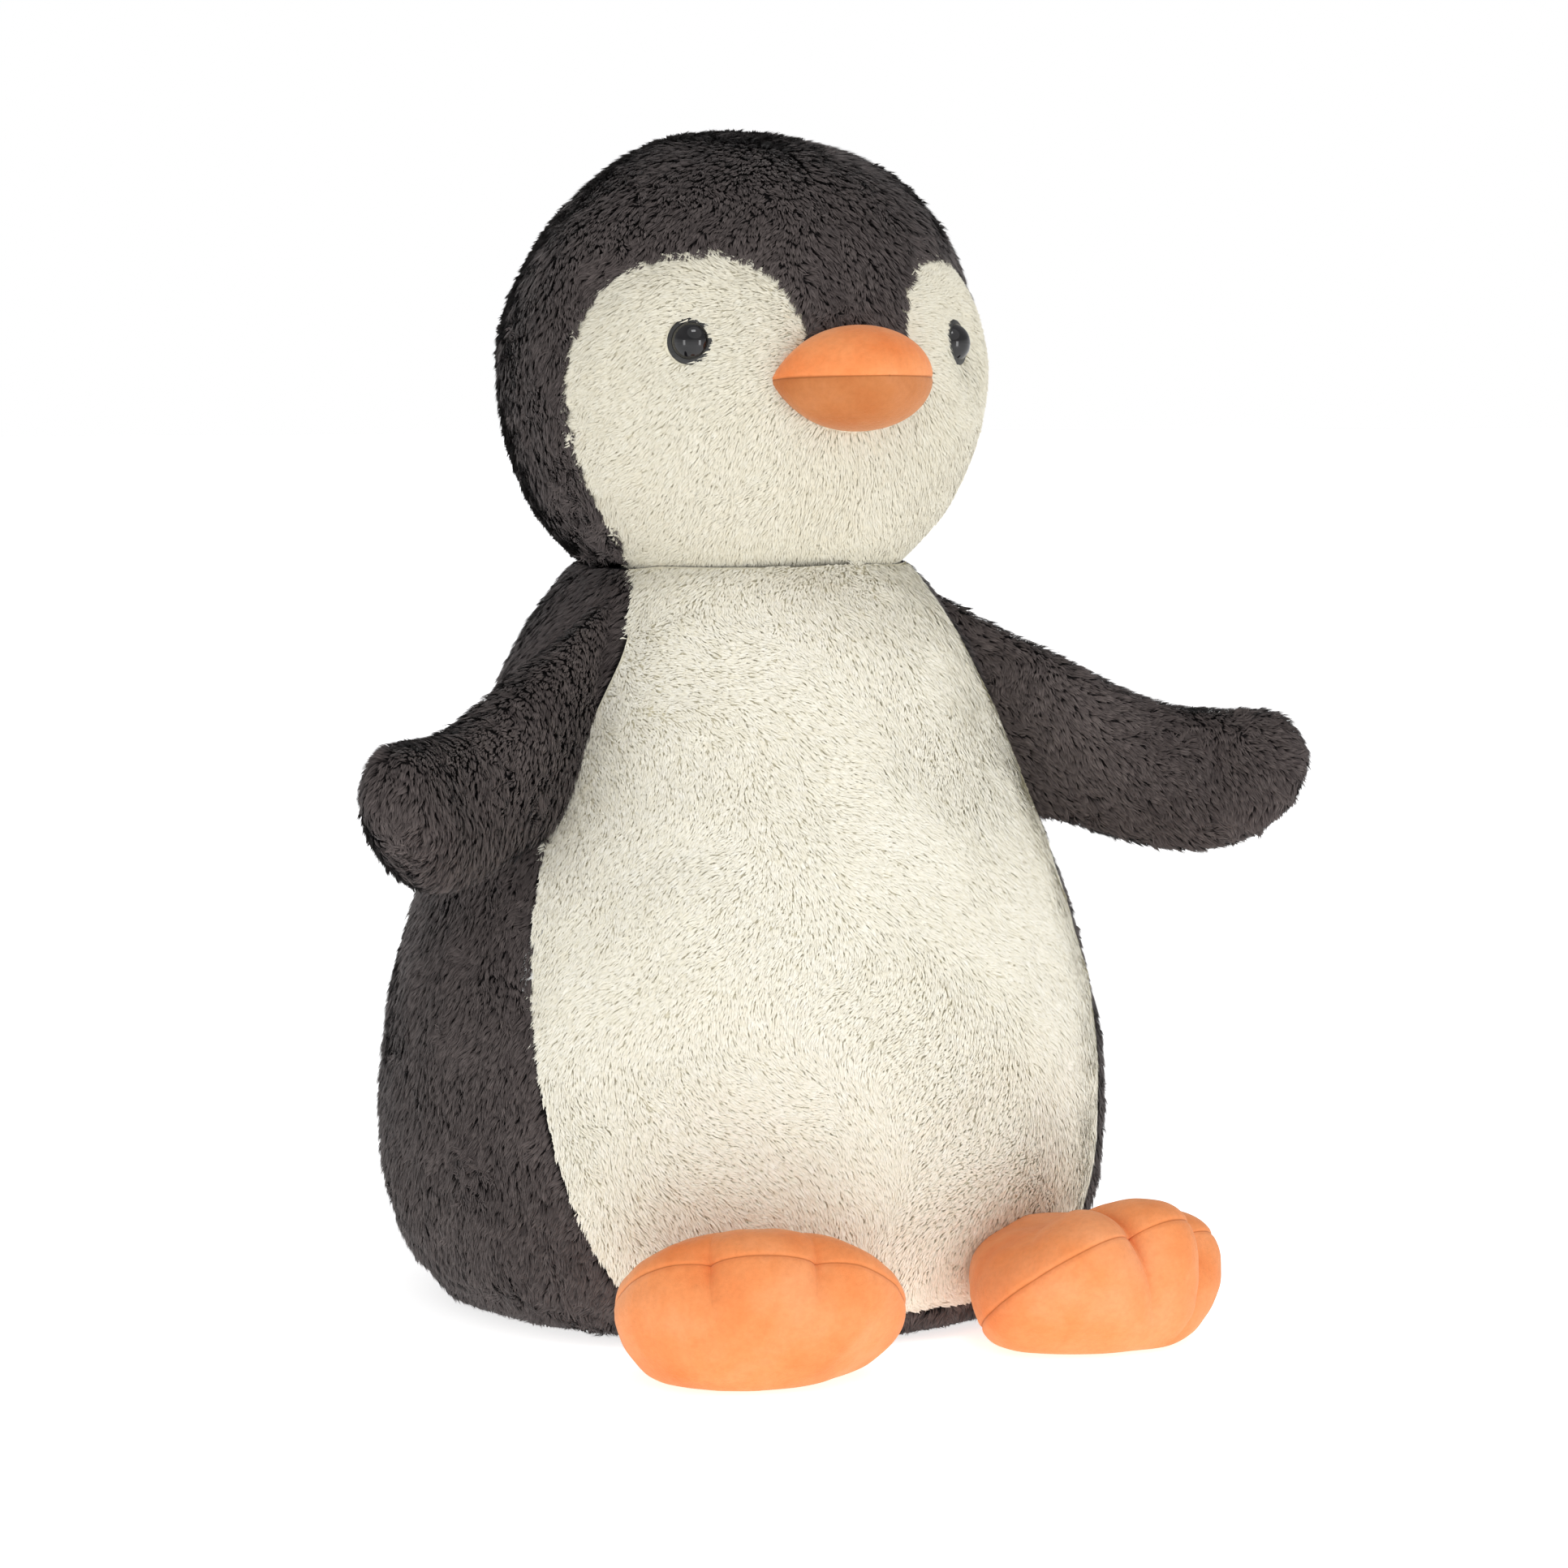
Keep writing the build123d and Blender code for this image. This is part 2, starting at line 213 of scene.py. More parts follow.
def grid_triangles(rows, columns, wrap):
    """Triangles over a grid of points stored row by row, closed round its rows if wrap is true."""
    row, column = np.meshgrid(np.arange(rows - 1), np.arange(columns if wrap else columns - 1), indexing="ij")
    next_column = (column + 1) % columns
    a = (row * columns + column).ravel()
    b = (row * columns + next_column).ravel()
    c = ((row + 1) * columns + next_column).ravel()
    d = ((row + 1) * columns + column).ravel()
    return np.concatenate([np.stack([a, b, c], 1), np.stack([a, c, d], 1)])


def clip(skin, field):
    """The part of a skin, (points with their normals, triangles), where field is below zero."""
    points, triangles = skin
    inside = field < 0
    count = inside[triangles].sum(1)
    whole = triangles[count == 3]
    corner, edges = [], []
    for wanted, odd_side in ((1, True), (2, False)):
        cut = triangles[count == wanted]
        first = (inside[cut] == odd_side).argmax(1)
        turned = np.stack([cut[np.arange(len(cut)), (first + k) % 3] for k in range(3)], axis=1)
        corner.append(turned)
        edges += [turned[:, [0, 1]], turned[:, [0, 2]]]
    lengths = np.cumsum([0] + [len(e) for e in edges])
    unique, place = np.unique(np.sort(np.concatenate(edges), axis=1), axis=0, return_inverse=True)
    place = place.ravel() + len(points)
    ab1, ac1, ab2, ac2 = (place[lengths[i]:lengths[i + 1]] for i in range(4))
    near, far = unique[:, 0], unique[:, 1]
    share = (field[near] / (field[near] - field[far]))[:, None]
    made = points[near] * (1 - share) + points[far] * share
    one, two = corner
    triangles = np.concatenate([
        whole,
        np.stack([one[:, 0], ab1, ac1], 1),
        np.stack([ab2, two[:, 1], two[:, 2]], 1),
        np.stack([ab2, two[:, 2], ac2], 1),
    ])
    points = np.concatenate([points, made])
    used, triangles = np.unique(triangles, return_inverse=True)
    return points[used], triangles.reshape(-1, 3)


def normals_of(points, triangles):
    """Normal at each point, from the triangles round it."""
    a, b, c = (points[triangles[:, k]] for k in range(3))
    facing = np.cross(b - a, c - a)
    total = np.zeros_like(points)
    for k in range(3):
        np.add.at(total, triangles[:, k], facing)
    return unit(total)


def skin_of(points, triangles):
    """A skin: points beside their normals, and the triangles."""
    return np.hstack([points, normals_of(points, triangles)]), triangles


def mirrored(skin):
    """A skin reflected to the penguin's other side."""
    points, triangles = skin
    flip = np.array([-1, 1, 1, -1, 1, 1])
    return points * flip, triangles[:, ::-1]


def mesh_object(name, points, triangles, normals=None):
    """A smooth Blender mesh from points in millimetres."""
    mesh = bpy.data.meshes.new(name)
    mesh.vertices.add(len(points))
    mesh.vertices.foreach_set("co", (points * MM).astype(np.float32).ravel())
    mesh.loops.add(triangles.size)
    mesh.loops.foreach_set("vertex_index", triangles.astype(np.int32).ravel())
    mesh.polygons.add(len(triangles))
    mesh.polygons.foreach_set("loop_start", np.arange(0, triangles.size, 3, dtype=np.int32))
    mesh.polygons.foreach_set("use_smooth", np.ones(len(triangles), bool))
    mesh.update(calc_edges=True)
    mesh.validate()
    if normals is not None:
        mesh.normals_split_custom_set_from_vertices(normals.astype(np.float32))
    piece = bpy.data.objects.new(name, mesh)
    bpy.context.scene.collection.objects.link(piece)
    return piece


# ---- materials ----
class Nodes:
    """Short calls that build one material."""

    def __init__(self, name):
        self.material = bpy.data.materials.new(name)
        self.material.use_nodes = True
        self.tree = self.material.node_tree
        self.shader = self.tree.nodes["Principled BSDF"]

    def add(self, kind, inputs=(), **settings):
        node = self.tree.nodes.new(kind)
        for key, value in settings.items():
            setattr(node, key, value)
        for key, value in dict(inputs).items():
            if isinstance(value, bpy.types.NodeSocket):
                self.tree.links.new(value, node.inputs[key])
            else:
                node.inputs[key].default_value = value
        return node

    def ramp(self, value, stops):
        node = self.add("ShaderNodeValToRGB", {"Fac": value})
        while len(node.color_ramp.elements) < len(stops):
            node.color_ramp.elements.new(0.5)
        for element, (position, colour) in zip(node.color_ramp.elements, stops):
            element.position = position
            element.color = (*colour, 1)
        return node.outputs["Color"]

    def noise(self, scale, detail=3.0, roughness=0.5):
        where = self.add("ShaderNodeTexCoord").outputs["Object"]
        node = self.add("ShaderNodeTexNoise", {"Vector": where, "Scale": scale, "Detail": detail,
                                               "Roughness": roughness})
        return node.outputs["Fac"]

    def mix(self, share, one, two, blend="MIX"):
        node = self.add("ShaderNodeMix", data_type="RGBA", blend_type=blend)
        for key, value in ((0, share), (6, one), (7, two)):
            if isinstance(value, bpy.types.NodeSocket):
                self.tree.links.new(value, node.inputs[key])
            else:
                node.inputs[key].default_value = value if key == 0 else (*value, 1)
        return node.outputs[2]

    def maths(self, operation, one, two):
        return self.add("ShaderNodeMath", {0: one, 1: two}, operation=operation).outputs[0]

    def bump(self, height, distance, strength=1.0):
        node = self.add("ShaderNodeBump", {"Height": height, "Distance": distance, "Strength": strength})
        self.tree.links.new(node.outputs["Normal"], self.shader.inputs["Normal"])

    def finish(self, colour, roughness, **sockets):
        self.tree.links.new(colour, self.shader.inputs["Base Color"])
        if isinstance(roughness, bpy.types.NodeSocket):
            self.tree.links.new(roughness, self.shader.inputs["Roughness"])
        else:
            self.shader.inputs["Roughness"].default_value = roughness
        for key, value in sockets.items():
            self.shader.inputs[key.replace("_", " ")].default_value = value
        return self.material


def pile_material(name, root, dark_tip, light_tip, sheen):
    """Pile: the texture's columns are shades and its rows run from the root to the tip. The strands are
    painted darker towards the root: painted shade deep in the pile.
    """
    nodes = Nodes(name)
    where = nodes.add("ShaderNodeUVMap", uv_map="OFBake").outputs["UV"]
    split = nodes.add("ShaderNodeSeparateXYZ", {0: where})
    middle = tuple((a + b) / 2 for a, b in zip(dark_tip, light_tip))
    tip = nodes.ramp(split.outputs["X"], [(0.0, dark_tip), (0.5, middle), (1.0, light_tip)])
    # painted shade: each strand darkens from its tip down to its root
    rise = nodes.ramp(split.outputs["Y"], [(0.0, (0, 0, 0)), (0.3, (0.35,) * 3), (0.75, (1, 1, 1))])
    colour = nodes.mix(rise, root, tip)
    return nodes.finish(colour, 0.85, Sheen_Weight=sheen, Sheen_Roughness=0.4, Specular_IOR_Level=0.25)


def cloth_material(name, low, high):
    """The knitted backing that shows only between the tufts."""
    nodes = Nodes(name)
    loops = nodes.noise(900.0, 2.0)
    patches = nodes.noise(40.0, 3.0)
    colour = nodes.mix(nodes.maths("MULTIPLY", loops, patches), low, high)
    nodes.bump(loops, 0.0006)
    return nodes.finish(colour, 0.95, Specular_IOR_Level=0.2)


def suede_material(name, shade, middle, light):
    """Brushed cloth: soft clouds where the nap lies differently, a fine grain, and darker seams."""
    nodes = Nodes(name)
    clouds = nodes.noise(26.0, 4.0, 0.6)
    grain = nodes.noise(1500.0, 3.0, 0.7)
    flecks = nodes.noise(420.0, 4.0, 0.65)
    nap = nodes.ramp(clouds, [(0.3, shade), (0.5, middle), (0.7, light)])
    fine = nodes.ramp(flecks, [(0.3, (0.86, 0.84, 0.82)), (0.6, (1, 1, 1))])
    colour = nodes.mix(0.6, nap, fine, "MULTIPLY")
    seam = nodes.add("ShaderNodeAttribute", attribute_name="seam").outputs["Fac"]
    colour = nodes.mix(seam, colour, tuple(0.6 * c for c in shade))
    height = nodes.maths("ADD", grain, nodes.maths("MULTIPLY", flecks, 1.5))
    nodes.bump(height, 0.00035, 0.6)
    rough = nodes.ramp(clouds, [(0.3, (0.78,) * 3), (0.7, (0.95,) * 3)])
    return nodes.finish(colour, rough, Sheen_Weight=0.35, Sheen_Roughness=0.35, Sheen_Tint=(1, 0.8, 0.6, 1),
                        Specular_IOR_Level=0.2)


def eye_material(name):
    """Polished black plastic with faint mould swirls."""
    nodes = Nodes(name)
    swirl = nodes.noise(160.0, 2.0)
    colour = nodes.ramp(swirl, [(0.3, (0.004, 0.004, 0.005)), (0.7, (0.012, 0.011, 0.012))])
    rough = nodes.ramp(nodes.noise(600.0, 2.0), [(0.4, (0.03,) * 3), (0.8, (0.07,) * 3)])
    return nodes.finish(colour, rough, Specular_IOR_Level=0.5)


def plain_material(name, low, high, scale, rough):
    """Parts inside: fill, lining and moulded washers."""
    nodes = Nodes(name)
    pattern = nodes.noise(scale, 4.0, 0.6)
    nodes.bump(pattern, 0.0008)
    return nodes.finish(nodes.ramp(pattern, [(0.3, low), (0.7, high)]), rough)


# the root colours are darker than the tips: painted shade deep in the pile
dark_pile = pile_material("dark_pile", root=(0.014, 0.010, 0.010), dark_tip=(0.047, 0.037, 0.036),
                          light_tip=(0.140, 0.116, 0.110), sheen=0.12)
cream_pile = pile_material("cream_pile", root=(0.84, 0.79, 0.62), dark_tip=(0.86, 0.82, 0.68),
                           light_tip=(0.94, 0.92, 0.83), sheen=0.04)
# the face's cream is the belly's cream painted darker: painted shade, for the less light that reaches the
# face
shaded_face_cream = pile_material("shaded_face_cream", root=(0.70, 0.65, 0.50), dark_tip=(0.72, 0.675, 0.54),
                           light_tip=(0.79, 0.765, 0.66), sheen=0.04)
dark_cloth = cloth_material("dark_backing", low=(0.006, 0.005, 0.005), high=(0.02, 0.016, 0.017))
cream_cloth = cloth_material("cream_backing", low=(0.80, 0.75, 0.58), high=(0.90, 0.86, 0.72))
# a darker copy of the orange suede for the beak's lower panel: partly its turned nap, partly painted shade
turned_and_shaded_suede = suede_material("turned_and_shaded_suede", shade=(0.49, 0.150, 0.040), middle=(0.54, 0.195, 0.064),
                              light=(0.60, 0.240, 0.098))
orange_suede = suede_material("orange_suede", shade=(0.82, 0.235, 0.066), middle=(0.86, 0.30, 0.104),
                              light=(0.89, 0.36, 0.155))
eye_black = eye_material("eye_black")
eye_rim = plain_material("eye_rim", low=(0.020, 0.020, 0.019), high=(0.034, 0.034, 0.032), scale=300.0,
                         rough=0.55)
fibre_fill = plain_material("fibre_fill", low=(0.80, 0.80, 0.78), high=(0.92, 0.92, 0.90), scale=120.0,
                            rough=0.95)
pellet_cloth = plain_material("pellet_cloth", low=(0.62, 0.60, 0.55), high=(0.78, 0.76, 0.70), scale=900.0,
                              rough=0.9)
washer_plastic = plain_material("washer_plastic", low=(0.80, 0.80, 0.78), high=(0.86, 0.86, 0.84), scale=60.0,
                                rough=0.5)


# ---- pile ----
def scatter(skin, count, rng):
    """Random points spread evenly over a skin, with their normals."""
    points, triangles = skin
    a, b, c = (points[triangles[:, k], :3] for k in range(3))
    areas = np.linalg.norm(np.cross(b - a, c - a), axis=1)
    reached = np.cumsum(areas)
    chosen = np.searchsorted(reached, (np.arange(count) + rng.random(count)) / count * reached[-1])
    chosen = np.minimum(chosen, len(triangles) - 1)
    u, v = rng.random(count), rng.random(count)
    over = u + v > 1
    u[over], v[over] = 1 - u[over], 1 - v[over]
    corners = points[triangles[chosen]]
    first = corners[:, 0]
    found = first + u[:, None] * (corners[:, 1] - first) + v[:, None] * (corners[:, 2] - first)
    return found[:, :3], unit(found[:, 3:])


def area_of(skin):
    """A skin's area in square millimetres."""
    points, triangles = skin
    a, b, c = (points[triangles[:, k], :3] for k in range(3))
    return np.linalg.norm(np.cross(b - a, c - a), axis=1).sum() / 2


class Pile:
    """One kind of pile: the size and number of its strands, and how they gather."""

    def __init__(self, slot_name, look, length, width, density, lift, sway, lock_size, gather, uneven):
        self.slot_name = slot_name
        self.look = look
        self.length = length            # of a strand, in millimetres
        self.width = width
        self.density = density          # strands per square millimetre
        self.lift = lift                # how far a strand stands up, as a share of its length
        self.sway = sway                # how far its way of lying wanders
        self.lock_size = lock_size      # strands that gather to one lock
        self.gather = gather            # how far the tips of a lock come together
        self.uneven = uneven            # how much locks differ in length and in lift


cream_make = dict(length=5.2, width=0.85, density=2.0, lift=0.24, sway=0.55, lock_size=8, gather=0.20,
                  uneven=(0.07, 0.08))
DARK_PILE = Pile("dark_pile", dark_pile, length=5.5, width=0.72, density=2.15, lift=0.38, sway=0.85,
                 lock_size=9, gather=0.46, uneven=(0.13, 0.18))
CREAM_PILE = Pile("cream_pile", cream_pile, **cream_make)
# the face's pile uses the cream with painted shade
SHADED_FACE_PILE = Pile("cream_pile", shaded_face_cream, **cream_make)


def lie_of(roots, normals, kind, nap, push, seed, rng):
    """The way that each strand lies along the cloth."""
    stray = sum(share * wander(roots, length, seed + step) for share, length, step in STRAYS)
    lie = unit(nap(roots, normals)) + kind.sway * stray + push
    lie += LIE_JITTER * rng.normal(size=lie.shape)
    return unit(lie - (lie * normals).sum(1)[:, None] * normals)


def gather_locks(roots, kind, rng):
    """The strands that lead the locks, and the number of the nearest one for every strand."""
    count = len(roots)
    centres = rng.choice(count, max(count // kind.lock_size, 1), replace=False)
    tree = kdtree.KDTree(len(centres))
    for number, index in enumerate(centres):
        tree.insert(roots[index], number)
    tree.balance()
    return centres, np.array([tree.find(point)[1] for point in roots])


def strand_shapes(roots, normals, lie, centres, lock, kind, rng):
    """Each strand as a bent kite: its root, both edges of its middle, and its tip. Gives their
    places and the normal that each strand is shaded by."""
    count = len(roots)
    leader = centres[lock]
    lock_long = (1 + kind.uneven[0] * rng.normal(size=len(centres)))[lock]
    lock_lift = (1 + kind.uneven[1] * rng.normal(size=len(centres)))[lock]
    long = kind.length * np.clip(lock_long * (1 + STRAND_UNEVEN * rng.normal(size=count)), *LENGTH_LIMITS)
    lift = kind.lift * np.clip(lock_lift, *LIFT_LIMITS)
    long, lift = long[:, None], lift[:, None]
    middle = roots + long * (MIDDLE_RISE * lift * normals + MIDDLE_REACH * lie)
    tip = roots + long * (lift * normals + TIP_REACH * lie)
    lock_middle = roots[leader] + long * (MIDDLE_RISE * lift * normals[leader] + MIDDLE_REACH * lie[leader])
    lock_tip = roots[leader] + long * (lift * normals[leader] + LOCK_REACH * lie[leader])
    middle += kind.gather / 2 * (lock_middle - middle)
    tip += kind.gather * (lock_tip - tip)

    across = unit(np.cross(normals, tip - roots) + EDGE_TWIST * rng.normal(size=roots.shape))
    wide = (kind.width / 2 * np.clip(1 + WIDTH_UNEVEN * rng.normal(size=count), *WIDTH_LIMITS))[:, None]
    low = roots - ROOT_DEPTH * normals
    corners = np.stack([low, middle + across * wide, middle - across * wide, tip], axis=1)
    corners[:, :, 2] = np.maximum(corners[:, :, 2], FLOOR_GAP)

    facing = np.cross(across, tip - roots)
    facing *= np.sign((facing * normals).sum(1))[:, None]
    rough = SHADING_JITTER * rng.normal(size=roots.shape)
    shading = unit(CLOTH_SHADING * normals + STRAND_SHADING * unit(facing) + rough)
    return corners, shading


def strand_order(corners, normals):
    """Which corners make each strand's two triangles, so that the side that shows is its front."""
    first = corners[:, 0]
    reverse = (np.cross(corners[:, 1] - first, corners[:, 2] - first) * normals).sum(1) < 0
    return np.where(reverse[:, None, None], [[2, 1, 0], [3, 1, 2]], [[0, 1, 2], [2, 1, 3]])


def strand_uv(roots, centres, lock, seed, rng):
    """Each corner's place on the texture: its strand's shade across, and from root to tip up."""
    shade = 0.5 + LOCK_SHADE * rng.normal(size=len(centres))[lock]
    shade = shade + STRAND_SHADE * rng.normal(size=len(roots))
    shade += PATCH_SHADE * waves(roots, PATCH_SIZE, seed + 31)
    column = np.clip((shade * SHADES).astype(int), 0, SHADES - 1)
    sides = np.array([0.5, 0.8, 0.2, 0.5])
    heights = np.array([0.03, 0.5, 0.5, 0.97])
    return np.stack([(column[:, None] + sides) / SHADES, np.broadcast_to(heights, (len(roots), 4))], axis=2)


def strand_pieces(name, look, corners, order, shading, uv):
    """Meshes of the strands, none with more than MOST_STRANDS."""
    count = len(corners)
    pieces = []
    for share in np.array_split(np.arange(count), math.ceil(count / MOST_STRANDS)):
        triangles = (np.arange(len(share))[:, None, None] * 4 + order[share]).reshape(-1, 3)
        piece = mesh_object(f"{name}_{len(pieces) + 1}", corners[share].reshape(-1, 3), triangles,
                            np.repeat(shading[share], 4, axis=0))
        layer = piece.data.uv_layers.new(name="OFBake")
        spread = uv[share].reshape(-1, 2)[triangles.ravel()]
        layer.data.foreach_set("uv", spread.astype(np.float32).ravel())
        piece.data.materials.append(look)
        pieces.append(piece)
    return pieces


def grow_pile(name, skin, kind, nap, seed, bare=None):
    """Pointed, bent strands over a skin, gathered into locks, as pieces of limited size. nap gives
    the way that they lie. bare gives each point's distance from an edge that strands keep clear
    of, and the way away from it."""
    rng = np.random.default_rng(seed)
    roots, normals = scatter(skin, int(area_of(skin) * kind.density), rng)
    push = np.zeros_like(roots)
    if bare is not None:
        distance, away = bare(roots)
        keep = distance > 0
        roots, normals, distance, away = roots[keep], normals[keep], distance[keep], away[keep]
        push = away * np.exp(-distance / BARE_FADE)[:, None] * BARE_PUSH
    lie = lie_of(roots, normals, kind, nap, push, seed, rng)
    centres, lock = gather_locks(roots, kind, rng)
    corners, shading = strand_shapes(roots, normals, lie, centres, lock, kind, rng)
    order = strand_order(corners, normals)
    uv = strand_uv(roots, centres, lock, seed, rng)
    return strand_pieces(name, kind.look, corners, order, shading, uv)


def place(piece, slot_name, body=None, blended=None, fill=None, stands_for=()):
    """Attach a piece to its body, or bake its place into its mesh when blended is given, and hide the CAD
    parts that it stands for.
    """
    if blended:
        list(blended)
        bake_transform(piece)
    else:
        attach(piece, body)
    if stands_for:
        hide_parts(*stands_for)


def cloth_piece(name, skin, look):
    """The cloth of one panel."""
    points, triangles = skin
    piece = mesh_object(name, points[:, :3], triangles, points[:, 3:])
    piece.data.materials.append(look)
    return piece


# ---- body and head: turned forms cut into panels ----
def turned_form(profile, columns, seed):
    """A form turned round Z from (radius, height) points, with soft lumps where the fill is uneven."""
    angles = np.arange(columns) * 2 * math.pi / columns
    radius, height = profile[:, 0][:, None], profile[:, 1][:, None]
    points = np.stack([radius * np.sin(angles), -radius * np.cos(angles), height + 0 * angles], axis=2)
    points = points.reshape(-1, 3)
    triangles = grid_triangles(len(profile), columns, True)
    normals = normals_of(points, triangles)
    lumps = 0.9 * waves(points, 90.0, seed) + 0.35 * waves(points, 34.0, seed + 5)
    return points + normals * lumps[:, None], triangles


def seam_dip(distances, depth=SEAM_DEPTH, width=SEAM_WIDTH):
    """How far the cloth dips at each of these distances from a seam."""
    return depth * np.exp(-((distances / width) ** 2))


def both_sides(stations, count):
    """A closed outline from the stations of its left half."""
    half = smooth_line(stations, count)
    return np.concatenate([half, half[::-1] * (-1, 1)])


def body_panels():
    """The body's cloth, cut into its belly, base and two back panels."""
    side = smooth_line([(BASE_RADIUS, 0)] + BODY_STATIONS, 90)
    base = np.stack([np.linspace(2.0, BASE_RADIUS - 3, 28), np.zeros(28)], axis=1)
    profile = np.concatenate([base, side, [(NECK_CREASE_RADIUS, NECK_HEIGHT)]])
    profile[:, 1] = np.maximum(profile[:, 1], BASE_HEIGHT)
    points, triangles = turned_form(profile, 250, 3)
    points[:, 2] = np.maximum(points[:, 2], LEAST_CLOTH_HEIGHT)
    seen = points[:, [0, 2]]
    belly = np.where(points[:, 1] < 0, outline_distance(seen, both_sides(BELLY_STATIONS, 80)), FAR)
    base_edge = points[:, 2] - BASE_SEAM_HEIGHT
    dip = np.maximum(seam_dip(belly), seam_dip(base_edge, 1.4))
    dip = np.maximum(dip, seam_dip(np.where(belly > 0, points[:, 0], FAR), 1.2))
    normals = normals_of(points, triangles)
    skin = skin_of(points - normals * dip[:, None], triangles)
    belly_skin = clip(skin, belly)
    rest = np.maximum(-belly, -base_edge)
    base_skin = clip(skin, np.maximum(base_edge, -belly))
    left = clip(skin, np.maximum(rest, -points[:, 0]))
    right = clip(skin, np.maximum(rest, points[:, 0]))
    return belly_skin, base_skin, left, right


def eye_direction(side):
    """The way that an eye faces, from the head's centre. side is 1 for the left eye."""
    turn, lift = math.radians(EYE_TURN), math.radians(EYE_LIFT)
    level = math.cos(lift)
    return np.array([side * math.sin(turn) * level, -math.cos(turn) * level, math.sin(lift)])


def eye_centre(side):
    """The middle of an eye on the head's ball."""
    return np.array([0, 0, HEAD_HEIGHT]) + eye_direction(side) * HEAD_RADIUS


def head_panels():
    """The head's cloth, cut into the face and two side panels."""
    lowest = math.acos((NECK_HEIGHT - HEAD_HEIGHT) / HEAD_RADIUS)
    angles = np.linspace(0.015, lowest, 72)[::-1]
    profile = np.stack([HEAD_RADIUS * np.sin(angles), HEAD_HEIGHT + HEAD_RADIUS * np.cos(angles)], axis=1)
    points, triangles = turned_form(profile, 190, 7)
    outline = both_sides(MASK_STATIONS, 90)
    outline[:, 0] += MASK_SHIFT * np.exp(-((outline[:, 0] / MASK_SHIFT_WIDTH) ** 2)) * (outline[:, 1] > 0)
    seen = points[:, [0, 2]] - (0, HEAD_HEIGHT)
    face = np.where(points[:, 1] < 0, outline_distance(seen, outline), FAR)
    dip = np.maximum(seam_dip(face), seam_dip(np.where(face > 0, points[:, 0], FAR), 1.0))
    for side in (-1, 1):
        from_eye = np.linalg.norm(points - eye_centre(side), axis=1)
        dip = dip + seam_dip(from_eye, EYE_SOCKET_DEPTH, EYE_SOCKET_WIDTH)
    normals = normals_of(points, triangles)
    skin = skin_of(points - normals * dip[:, None], triangles)
    face_skin = clip(skin, face)
    left = clip(skin, np.maximum(-face, -points[:, 0]))
    right = clip(skin, np.maximum(-face, points[:, 0]))
    return face_skin, left, right


def beak_outline(scale):
    """The beak's edge on the face: a pointed oval, seen from the front."""
    across = np.linspace(-1, 1, 41)
    top = np.stack([across * BEAK_HALF_WIDTH, BEAK_HALF_HEIGHT * (1 - across**2) ** 0.85], axis=1) * scale
    return np.concatenate([top, top[::-1] * (1, -1)])


def bare_face(points):
    """The face is bare under the eyes and the beak. Gives the distance from their edges, and the
    way away from them."""
    seen = points[:, [0, 2]] - (0, HEAD_HEIGHT - BEAK_DROP)
    distance = np.where(points[:, 1] < 0, outline_distance(seen, beak_outline(0.9)), 200.0)
    away = unit(np.stack([seen[:, 0], 0 * seen[:, 0], seen[:, 1]], axis=1))
    for side in (-1, 1):
        offset = points - eye_centre(side)
        from_eye = np.linalg.norm(offset, axis=1) - (EYE_RADIUS - 0.3)
        nearer = from_eye < distance
        distance = np.where(nearer, from_eye, distance)
        away = np.where(nearer[:, None], 0.25 * unit(offset), away)
    return distance, away


def down(points, normals):
    """Straight down."""
    return np.broadcast_to(-UP, points.shape) + 0 * points


def down_and_out(points, normals):
    """Down, and away from the middle of the back or belly."""
    return -UP + 0.35 * np.tanh(points[:, :1] / 30) * np.array([1.0, 0, 0])


def belly_nap(points, normals):
    """Down over the belly, and sideways in places."""
    sway = waves(points, 120.0, 91)[:, None]
    return -0.8 * UP + sway * np.array([1.0, 0, 0]) + 0.25 * np.array([1.0, 0, 0])


def face_nap(points, normals):
    """Away from the beak, and down."""
    out = points - np.array([0, -HEAD_RADIUS, HEAD_HEIGHT + 8])
    return unit(out) - 0.5 * UP


def crown_nap(points, normals):
    """From the crown's seam out and down."""
    out = np.tanh(points[:, :1] / 30) * np.array([1.0, 0, 0])
    return 0.7 * out - 0.75 * UP + 0.5 * np.array([0, -1.0, 0])


belly_skin, base_skin, back_left_skin, back_right_skin = body_panels()
face_skin, head_left_skin, head_right_skin = head_panels()
body_blend = ("body", "neck", (0, 0, 0.270), (0, 0, NECK_HEIGHT * MM))
head_blend = ("neck", "head", (0, 0, NECK_HEIGHT * MM), (0, 0, 0.350))
body_covers = (
    ("belly", belly_skin, cream_cloth, CREAM_PILE, belly_nap, "belly_panel", 101),
    ("base", base_skin, dark_cloth, DARK_PILE, down, "base_panel", 102),
    ("back_left", back_left_skin, dark_cloth, DARK_PILE, down_and_out, "back_panel_left", 103),
    ("back_right", back_right_skin, dark_cloth, DARK_PILE, down_and_out, "back_panel_right", 104),
)
head_covers = (
    ("face", face_skin, cream_cloth, SHADED_FACE_PILE, face_nap, "face_panel", 105),
    ("head_left", head_left_skin, dark_cloth, DARK_PILE, crown_nap, "head_panel_left", 106),
    ("head_right", head_right_skin, dark_cloth, DARK_PILE, crown_nap, "head_panel_right", 107),
)
for covers, blended, bare in ((body_covers, body_blend, None), (head_covers, head_blend, bare_face)):
    for name, skin, cloth, kind, nap, node, seed in covers:
        backing = cloth_piece(f"{name}_cloth", skin, cloth)
        stands_for = [node] + (["head_stuffing"] if name == "face" else [])
        place(backing, kind.slot_name, blended=blended, fill=0.8, stands_for=stands_for)
        for piece in grow_pile(f"{name}_pile", skin, kind, nap, seed, bare):
            place(piece, kind.slot_name, blended=blended)


